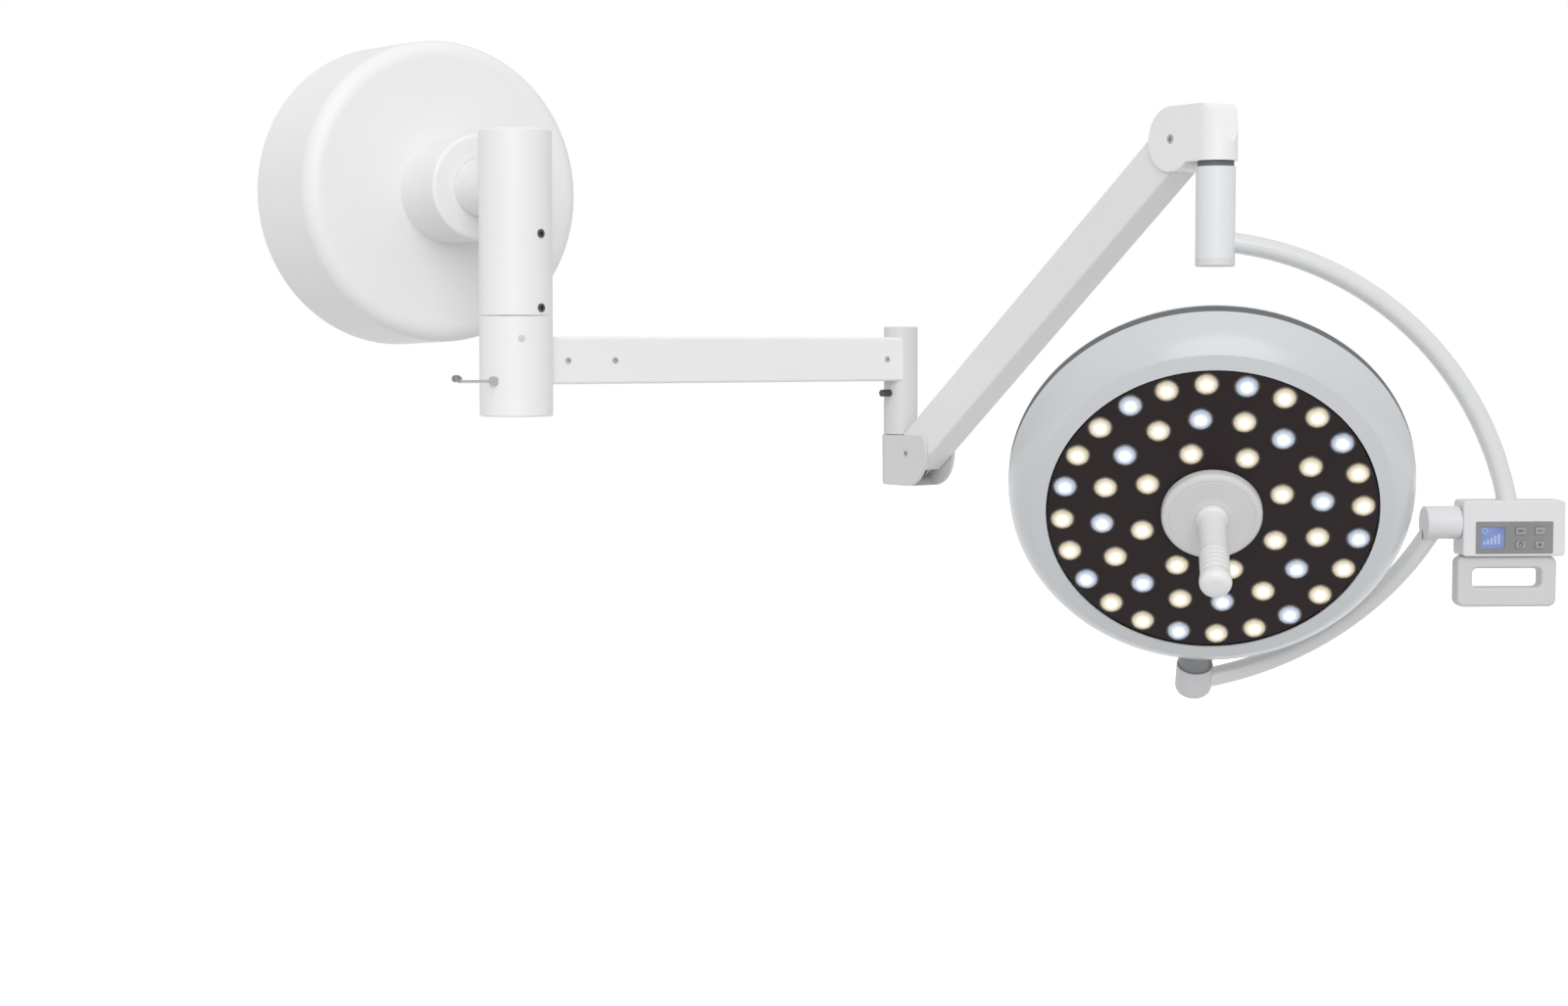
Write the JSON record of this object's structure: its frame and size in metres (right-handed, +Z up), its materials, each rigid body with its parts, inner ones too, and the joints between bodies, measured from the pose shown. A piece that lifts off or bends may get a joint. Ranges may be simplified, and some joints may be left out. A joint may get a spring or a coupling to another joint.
{
  "type": "dental operating light",
  "caption": "Wall-mounted operating light: wall drum, swivelling arm, spring-balanced arm, drop shaft, arc tube with keypad box, yoke and round multi-lens head with pull-off handle.",
  "frame": {"origin": "centre of the wall plate's back face, which is the centre of its bolt circle", "axes": "+X to the right along the wall, +Y into the wall, +Z up"},
  "size_m": [1.2092, 1.2386, 0.8641],
  "materials": {
    "white_paint": "fine-textured powder coat",
    "cover_plastic": "moulded, satin",
    "tube_enamel": "glossy enamel over bent tube",
    "bezel_plastic": "silvery-white moulded, semi-gloss",
    "dome_metal": "painted spun shell",
    "handle_plastic": "moulded, satin",
    "box_plastic": "moulded, satin",
    "face_black": "gloss black lens plate",
    "lens_warm": "clear moulded lens over a warm diode",
    "lens_cool": "clear moulded lens over a cool diode",
    "panel_black": "printed membrane",
    "lcd_blue": "display window",
    "key_grey": "moulded keys",
    "rubber": "matt",
    "bright_steel": "turned",
    "dark_steel": "blackened",
    "zinc_plate": "zinc plated",
    "bronze": "sintered bearing bronze",
    "circuit_green": "solder resist",
    "supply_case": "perforated sheet case"
  },
  "bodies": {
    "wall_side": {"wall_plate": "zinc_plate", "support_tube": "white_paint", "cover_shell": "cover_plastic", "cover_collar": "cover_plastic", "power_supply": "supply_case", "column_tube": "white_paint", "column_cap": "white_paint", "column_bushes": "bronze", "column_brake_screws": "dark_steel"},
    "first_arm": {"arm_spindle": "bright_steel", "hub_shell": "white_paint", "hub_cap": "white_paint", "first_arm_tube": "white_paint", "first_arm_screws": "bright_steel", "end_tube": "white_paint", "end_tube_cap": "white_paint", "end_bushes": "bronze"},
    "brake_lever": {"brake_lever": "bright_steel", "lever_knob": "dark_steel"},
    "end_brake_knob": {"end_brake_knob": "dark_steel"},
    "swing_fork": {"swing_spindle": "bright_steel", "lower_knuckle": "white_paint", "lower_pins": "bright_steel"},
    "spring_arm": {"spring_arm_tube": "white_paint", "arm_bushes": "bronze", "gas_cylinder": "dark_steel"},
    "gas_rod": {"gas_rod": "bright_steel"},
    "levelling_link": {"levelling_link": "zinc_plate"},
    "top_knuckle": {"top_knuckle": "white_paint", "upper_pins": "bright_steel", "swivel_bush": "bronze"},
    "lamp_arc": {"drop_shaft": "white_paint", "shaft_spindle": "bright_steel", "swivel_seal": "rubber", "shaft_end_cap": "box_plastic", "outer_arc": "tube_enamel", "control_box": "box_plastic", "box_back_cover": "box_plastic", "display_panel": "panel_black", "lcd": "lcd_blue", "circuit_board": "circuit_green", "handle_frame": "box_plastic", "tilt_axle": "bright_steel"},
    "power_key": {"power_key": "key_grey"},
    "mode_key": {"mode_key": "key_grey"},
    "brighter_key": {"brighter_key": "key_grey"},
    "dimmer_key": {"dimmer_key": "key_grey"},
    "yoke": {"yoke_hub": "box_plastic", "yoke_arc": "tube_enamel", "yoke_socket": "box_plastic"},
    "lamp_head": {"head_journal": "bright_steel", "rear_dome": "dome_metal", "rim_gasket": "rubber", "bezel_ring": "bezel_plastic", "lens_panel": "face_black", "warm_lenses": "lens_warm", "cool_lenses": "lens_cool", "led_board": "circuit_green", "centre_disc": "handle_plastic"},
    "sterile_handle": {"sterile_handle": "handle_plastic"}
  },
  "joints": [
    {"name": "arm1_swivel", "type": "hinge", "parent": "wall_side", "child": "first_arm", "pos_m": [0, -0.356, 0], "axis": [0, 0, 1], "range_deg": [-185, 5]},
    {"name": "brake_lever_turn", "type": "hinge", "parent": "first_arm", "child": "brake_lever", "pos_m": [0, -0.356, -0.254], "axis": [-0.8949, -0.4462, 0], "range_deg": [0, 270]},
    {"name": "end_brake_turn", "type": "hinge", "parent": "first_arm", "child": "end_brake_knob", "pos_m": [0.616, -0.356, -0.276], "axis": [-0.9703, -0.2419, 0], "range_deg": [0, 270]},
    {"name": "arm2_swivel", "type": "hinge", "parent": "first_arm", "child": "swing_fork", "pos_m": [0.616, -0.356, 0], "axis": [0, 0, -1], "range_deg": [-170, 60]},
    {"name": "arm_lift", "type": "hinge", "parent": "swing_fork", "child": "spring_arm", "pos_m": [0.616, -0.404, -0.3604], "axis": [-1, 0, 0], "range_deg": [-76, 4]},
    {"name": "knuckle_level", "type": "hinge", "parent": "spring_arm", "child": "top_knuckle", "pos_m": [0.616, -0.95143, 0.04467], "axis": [-1, 0, 0], "range_deg": [-4, 76]},
    {"name": "link_swing", "type": "hinge", "parent": "swing_fork", "child": "levelling_link", "pos_m": [0.616, -0.404, -0.3434], "axis": [-1, 0, 0], "range_deg": [-76, 4]},
    {"name": "gas_stroke", "type": "slide", "parent": "spring_arm", "child": "gas_rod", "axis": [0, -0.8039, 0.5948], "range_m": [-0.0013, 0.0245]},
    {"name": "head_swivel", "type": "hinge", "parent": "top_knuckle", "child": "lamp_arc", "pos_m": [0.616, -1.00543, 0], "axis": [0, 0, 1], "range_deg": [-140, 140]},
    {"name": "yoke_tilt", "type": "hinge", "parent": "lamp_arc", "child": "yoke", "pos_m": [0.616, -1.00543, -0.42593], "axis": [0.866, -0.5, 0], "range_deg": [-75, 105]},
    {"name": "head_tilt", "type": "hinge", "parent": "yoke", "child": "lamp_head", "pos_m": [0.6102, -1.00208, -0.42593], "axis": [-0.2852, -0.4033, 0.8695], "range_deg": [-149, 171]},
    {"name": "handle_pull", "type": "slide", "parent": "lamp_head", "child": "sterile_handle", "axis": [-0.5634, -0.6633, -0.4925], "range_m": [0, 0.07]},
    {"name": "power_key_press", "type": "slide", "parent": "lamp_arc", "child": "power_key", "axis": [0.5, 0.866, 0], "range_m": [0, 0.0008], "stiffness_N_per_m": 500},
    {"name": "mode_key_press", "type": "slide", "parent": "lamp_arc", "child": "mode_key", "axis": [0.5, 0.866, 0], "range_m": [0, 0.0008], "stiffness_N_per_m": 500},
    {"name": "brighter_key_press", "type": "slide", "parent": "lamp_arc", "child": "brighter_key", "axis": [0.5, 0.866, 0], "range_m": [0, 0.0008], "stiffness_N_per_m": 500},
    {"name": "dimmer_key_press", "type": "slide", "parent": "lamp_arc", "child": "dimmer_key", "axis": [0.5, 0.866, 0], "range_m": [0, 0.0008], "stiffness_N_per_m": 500}
  ],
  "couplings": [
    {"joint": "knuckle_level", "follows": "arm_lift", "ratio": -1},
    {"joint": "link_swing", "follows": "arm_lift", "ratio": 1},
    {"joint": "gas_stroke", "follows": "arm_lift", "m_per_rad": -0.01734}
  ]
}
